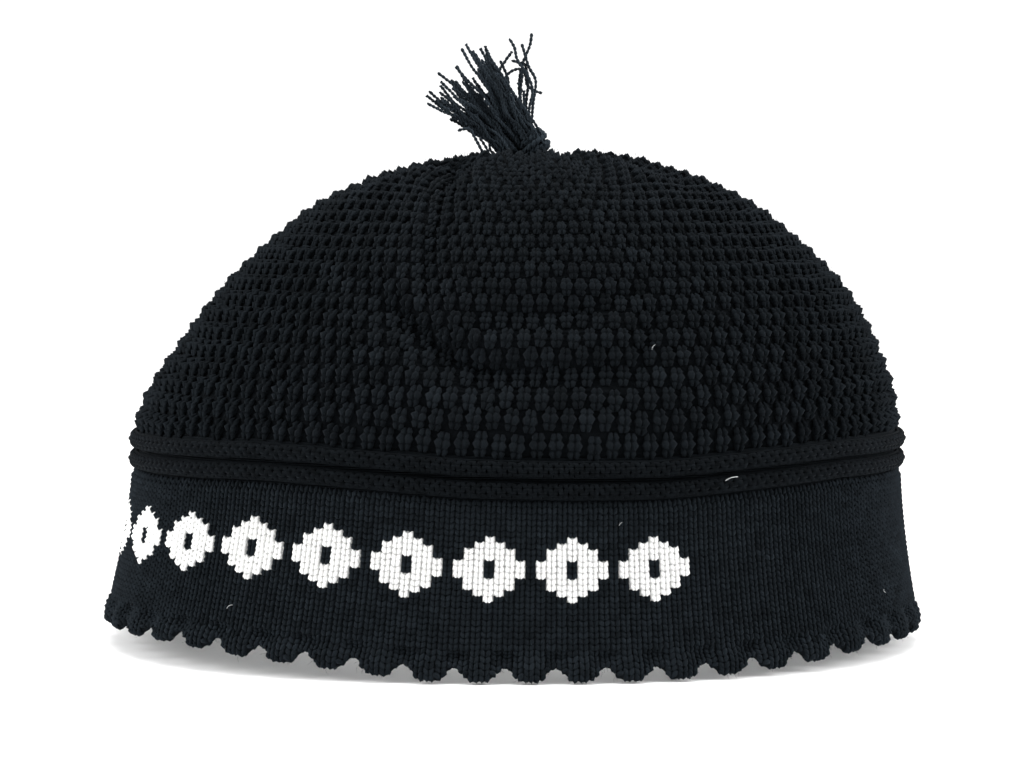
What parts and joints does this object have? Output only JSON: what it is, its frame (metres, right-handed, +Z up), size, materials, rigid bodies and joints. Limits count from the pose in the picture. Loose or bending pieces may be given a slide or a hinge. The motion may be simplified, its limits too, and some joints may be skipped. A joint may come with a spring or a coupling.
{
  "type": "knitted kippah skullcap with tassel",
  "caption": "Domed knitted skullcap: bobble-knit crown gathered under a small tassel, two rolled welts, a plain flared band and a scalloped hem, standing open on its rim.",
  "frame": {"origin": "on the resting plane under the hem, under the middle of the bounding box", "axes": "+Z up to the crown, -Y to the front of the cap, +X to the right as seen from the front"},
  "size_m": [0.206, 0.154, 0.1512],
  "materials": {
    "crown_knit": "matte black cotton, bobble knit",
    "welt_knit": "matte black cotton, rolled knit",
    "band_knit": "matte black cotton, fine plain knit",
    "edging_knit": "matte black cotton, shell edging",
    "tassel_yarn": "two-ply black cotton yarn",
    "white_knit": "matte white cotton, knitted-in motifs"
  },
  "bodies": {
    "root": {"scallop_edging": "edging_knit", "band": "band_knit", "lower_welt": "welt_knit", "upper_welt": "welt_knit", "crown": "crown_knit", "tassel_knot": "tassel_yarn", "tassel": "tassel_yarn"}
  },
  "joints": []
}
